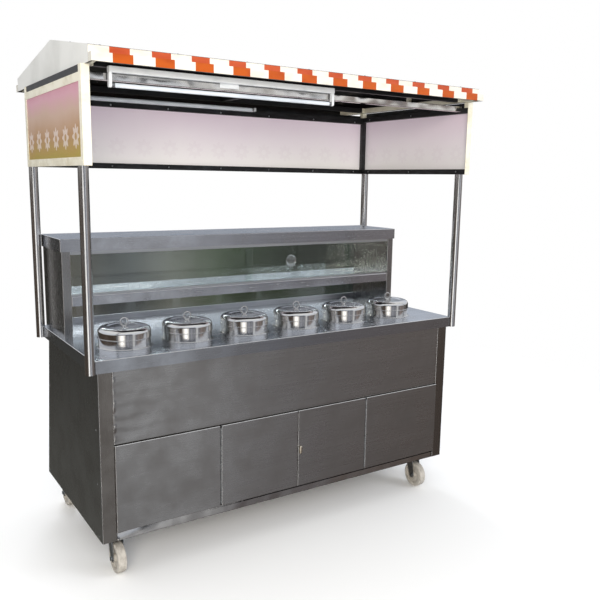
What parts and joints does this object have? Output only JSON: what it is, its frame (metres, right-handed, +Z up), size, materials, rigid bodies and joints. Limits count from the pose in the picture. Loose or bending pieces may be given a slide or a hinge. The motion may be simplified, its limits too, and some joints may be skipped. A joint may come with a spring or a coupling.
{
  "type": "pani puri counter",
  "caption": "Wheeled stainless steel street food counter with lidded pots let into the top, a glazed showcase with sliding panes, a door cupboard and a printed canopy under a gable roof.",
  "frame": {"origin": "on the floor under the middle of the roof", "axes": "+Z up, the doors face -Y, +X to the right of a person who faces the doors"},
  "size_m": [1.887, 1.136, 2.112],
  "materials": {
    "sheet_steel": "brushed stainless sheet with a soft sheen",
    "polished_steel": "polished stainless steel",
    "cream_paint": "cream gloss paint",
    "roof_paint": "pale warm grey paint",
    "fascia_paint": "white gloss paint with orange stripes",
    "sign_print": "satin printed film on a board",
    "dark_strip": "black satin paint",
    "pane_glass": "clear float glass",
    "track_alloy": "bright extruded aluminium",
    "white_plastic": "white enamel and plastic of the light fittings",
    "lamp_glass": "opal white lamp",
    "castor_steel": "zinc plated steel",
    "wheel_nylon": "grey beige moulded nylon"
  },
  "bodies": {
    "counter": {"back_sign_panel": "sign_print", "bottom_rail": "sheet_steel", "cabinet_back_panel": "sheet_steel", "cabinet_end_panels": "sheet_steel", "cabinet_floor": "sheet_steel", "cabinet_frame": "sheet_steel", "canopy_corner_angles": "cream_paint", "canopy_frame": "dark_strip", "canopy_posts": "polished_steel", "canopy_rails": "cream_paint", "castor_bolts": "castor_steel", "castor_plates": "castor_steel", "countertop": "sheet_steel", "fascias": "fascia_paint", "fixed_front_panels": "sheet_steel", "front_beam": "polished_steel", "front_upper_panel": "sheet_steel", "gables": "roof_paint", "hinge_fixed_leaves": "sheet_steel", "lamp_holders": "white_plastic", "left_sign_panel": "sign_print", "light_battens": "white_plastic", "light_tubes": "lamp_glass", "pane_tracks": "track_alloy", "post_sockets": "polished_steel", "rear_glass": "pane_glass", "rear_glass_channels": "track_alloy", "right_sign_panel": "sign_print", "roof_frame": "cream_paint", "roof_sheets": "roof_paint", "showcase_ends": "sheet_steel", "showcase_shelf": "sheet_steel", "showcase_top": "sheet_steel"},
    "left_door": {"left_door": "sheet_steel", "left_door_leaf": "sheet_steel"},
    "right_door": {"right_door": "sheet_steel", "right_door_leaf": "sheet_steel"},
    "turn_latch": {"turn_latch": "sheet_steel"},
    "left_pane": {"left_pane": "pane_glass"},
    "right_pane": {"right_pane": "pane_glass"},
    "pot_1": {"pot_1": "polished_steel"},
    "lid_1": {"lid_1": "polished_steel"},
    "pot_2": {"pot_2": "polished_steel"},
    "lid_2": {"lid_2": "polished_steel"},
    "pot_3": {"pot_3": "polished_steel"},
    "lid_3": {"lid_3": "polished_steel"},
    "pot_4": {"pot_4": "polished_steel"},
    "lid_4": {"lid_4": "polished_steel"},
    "pot_5": {"pot_5": "polished_steel"},
    "lid_5": {"lid_5": "polished_steel"},
    "pot_6": {"pot_6": "polished_steel"},
    "lid_6": {"lid_6": "polished_steel"},
    "front_left_castor": {"front_left_castor_fork": "castor_steel"},
    "front_left_wheel": {"front_left_castor_wheel": "wheel_nylon"},
    "front_right_castor": {"front_right_castor_fork": "castor_steel"},
    "front_right_wheel": {"front_right_castor_wheel": "wheel_nylon"},
    "rear_left_castor": {"rear_left_castor_fork": "castor_steel"},
    "rear_left_wheel": {"rear_left_castor_wheel": "wheel_nylon"},
    "rear_right_castor": {"rear_right_castor_fork": "castor_steel"},
    "rear_right_wheel": {"rear_right_castor_wheel": "wheel_nylon"}
  },
  "joints": [
    {"name": "left_door_hinge", "type": "hinge", "parent": "counter", "child": "left_door", "pos_m": [-0.386, -0.436, 0.396], "axis": [0, 0, -1], "range_deg": [0, 160]},
    {"name": "right_door_hinge", "type": "hinge", "parent": "counter", "child": "right_door", "pos_m": [0.386, -0.436, 0.396], "axis": [0, 0, 1], "range_deg": [0, 160]},
    {"name": "latch_turn", "type": "hinge", "parent": "right_door", "child": "turn_latch", "pos_m": [0.012, -0.436, 0.3905], "axis": [0, 1, 0], "range_deg": [0, 90]},
    {"name": "left_pane_slide", "type": "slide", "parent": "counter", "child": "left_pane", "axis": [1, 0, 0], "range_m": [0, 0.8395]},
    {"name": "right_pane_slide", "type": "slide", "parent": "counter", "child": "right_pane", "axis": [-1, 0, 0], "range_m": [0, 0.8395]},
    {"name": "pot_1_lift", "type": "slide", "parent": "counter", "child": "pot_1", "axis": [0, 0, 1], "range_m": [0, 0.22]},
    {"name": "lid_1_lift", "type": "slide", "parent": "pot_1", "child": "lid_1", "axis": [0, 0, 1], "range_m": [0, 0.12]},
    {"name": "pot_2_lift", "type": "slide", "parent": "counter", "child": "pot_2", "axis": [0, 0, 1], "range_m": [0, 0.22]},
    {"name": "lid_2_lift", "type": "slide", "parent": "pot_2", "child": "lid_2", "axis": [0, 0, 1], "range_m": [0, 0.12]},
    {"name": "pot_3_lift", "type": "slide", "parent": "counter", "child": "pot_3", "axis": [0, 0, 1], "range_m": [0, 0.22]},
    {"name": "lid_3_lift", "type": "slide", "parent": "pot_3", "child": "lid_3", "axis": [0, 0, 1], "range_m": [0, 0.12]},
    {"name": "pot_4_lift", "type": "slide", "parent": "counter", "child": "pot_4", "axis": [0, 0, 1], "range_m": [0, 0.22]},
    {"name": "lid_4_lift", "type": "slide", "parent": "pot_4", "child": "lid_4", "axis": [0, 0, 1], "range_m": [0, 0.12]},
    {"name": "pot_5_lift", "type": "slide", "parent": "counter", "child": "pot_5", "axis": [0, 0, 1], "range_m": [0, 0.22]},
    {"name": "lid_5_lift", "type": "slide", "parent": "pot_5", "child": "lid_5", "axis": [0, 0, 1], "range_m": [0, 0.12]},
    {"name": "pot_6_lift", "type": "slide", "parent": "counter", "child": "pot_6", "axis": [0, 0, 1], "range_m": [0, 0.22]},
    {"name": "lid_6_lift", "type": "slide", "parent": "pot_6", "child": "lid_6", "axis": [0, 0, 1], "range_m": [0, 0.12]},
    {"name": "front_left_swivel", "type": "hinge", "parent": "counter", "child": "front_left_castor", "pos_m": [-0.81, -0.308, 0.1717], "axis": [0, 0, 1], "continuous": true},
    {"name": "front_left_roll", "type": "hinge", "parent": "front_left_castor", "child": "front_left_wheel", "pos_m": [-0.81, -0.34, 0.0625], "axis": [1, 0, 0], "continuous": true},
    {"name": "front_right_swivel", "type": "hinge", "parent": "counter", "child": "front_right_castor", "pos_m": [0.81, -0.308, 0.1717], "axis": [0, 0, 1], "continuous": true},
    {"name": "front_right_roll", "type": "hinge", "parent": "front_right_castor", "child": "front_right_wheel", "pos_m": [0.81, -0.34, 0.0625], "axis": [1, 0, 0], "continuous": true},
    {"name": "rear_left_swivel", "type": "hinge", "parent": "counter", "child": "rear_left_castor", "pos_m": [-0.81, 0.35, 0.1717], "axis": [0, 0, 1], "continuous": true},
    {"name": "rear_left_roll", "type": "hinge", "parent": "rear_left_castor", "child": "rear_left_wheel", "pos_m": [-0.81, 0.382, 0.0625], "axis": [1, 0, 0], "continuous": true},
    {"name": "rear_right_swivel", "type": "hinge", "parent": "counter", "child": "rear_right_castor", "pos_m": [0.81, 0.35, 0.1717], "axis": [0, 0, 1], "continuous": true},
    {"name": "rear_right_roll", "type": "hinge", "parent": "rear_right_castor", "child": "rear_right_wheel", "pos_m": [0.81, 0.382, 0.0625], "axis": [1, 0, 0], "continuous": true}
  ]
}
